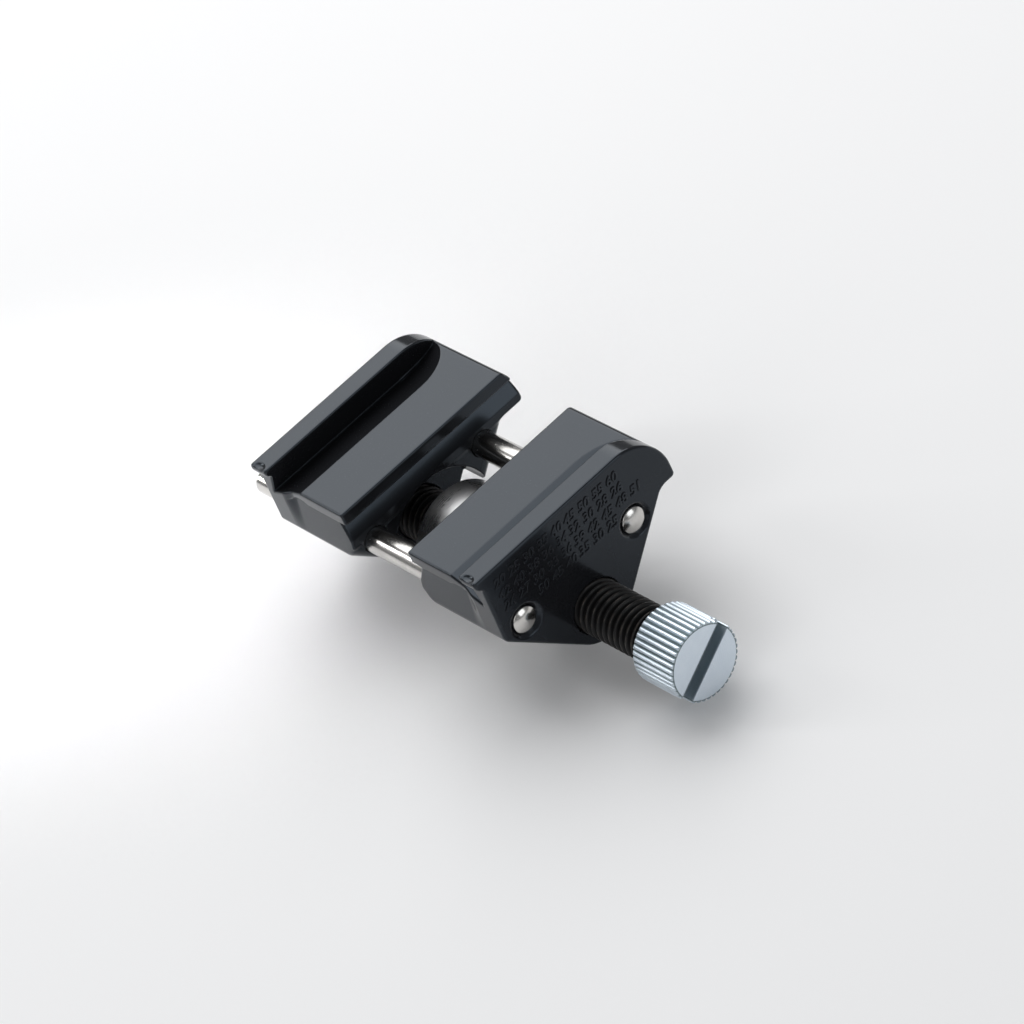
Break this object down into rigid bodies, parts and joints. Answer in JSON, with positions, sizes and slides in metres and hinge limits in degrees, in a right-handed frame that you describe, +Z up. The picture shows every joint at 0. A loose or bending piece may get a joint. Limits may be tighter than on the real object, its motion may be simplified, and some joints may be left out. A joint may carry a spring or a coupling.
{
  "type": "honing guide",
  "caption": "Side-clamping honing guide: two cast jaws on a left- and right-hand threaded spindle, with guide rods, a centre roller and a knurled, slotted knob.",
  "frame": {"origin": "centre of the roller, on the axis of the spindle; the jaws stand at their rest opening, 18.4 mm between the lip edges", "axes": "+X towards the cutting edge of the clamped blade, +Y along the spindle towards the knob, +Z up, square to the two decks"},
  "size_m": [0.0422, 0.1015, 0.0321],
  "materials": {
    "jaw_paint": "gloss black enamel on a die casting",
    "black_oxide": "black oxide, oiled",
    "rod_steel": "ground bright",
    "zinc_plate": "bright zinc plate, satin",
    "roller_steel": "turned and ground",
    "bush_bronze": "sintered bronze, oily",
    "washer_steel": "stamped",
    "clip_steel": "phosphated spring steel"
  },
  "bodies": {
    "centre": {"thrust_washer_knob_side": "washer_steel", "thrust_washer_far_side": "washer_steel"},
    "screw": {"spindle": "black_oxide", "knob": "zinc_plate", "retaining_clip_knob_side": "clip_steel", "retaining_clip_far_side": "clip_steel"},
    "roller": {"roller": "roller_steel", "roller_bush": "bush_bronze"},
    "knob_side_jaw": {"knob_side_jaw": "jaw_paint", "guide_rod_front": "rod_steel", "guide_rod_rear": "rod_steel"},
    "far_jaw": {"far_jaw": "jaw_paint"}
  },
  "joints": [
    {"name": "knob_turn", "type": "hinge", "parent": "centre", "child": "screw", "pos_m": [0, 0, 0], "axis": [0, 1, 0], "range_deg": [-2112, 3360]},
    {"name": "knob_side_jaw_slide", "type": "slide", "parent": "centre", "child": "knob_side_jaw", "axis": [0, 1, 0], "range_m": [-0.0088, 0.014]},
    {"name": "far_jaw_slide", "type": "slide", "parent": "centre", "child": "far_jaw", "axis": [0, -1, 0], "range_m": [-0.0088, 0.014]},
    {"name": "roller_spin", "type": "hinge", "parent": "centre", "child": "roller", "pos_m": [0, 0, 0], "axis": [0, 1, 0], "continuous": true}
  ],
  "couplings": [
    {"joint": "knob_turn", "follows": "knob_side_jaw_slide", "rad_per_m": 4188.7},
    {"joint": "far_jaw_slide", "follows": "knob_side_jaw_slide", "ratio": 1}
  ]
}
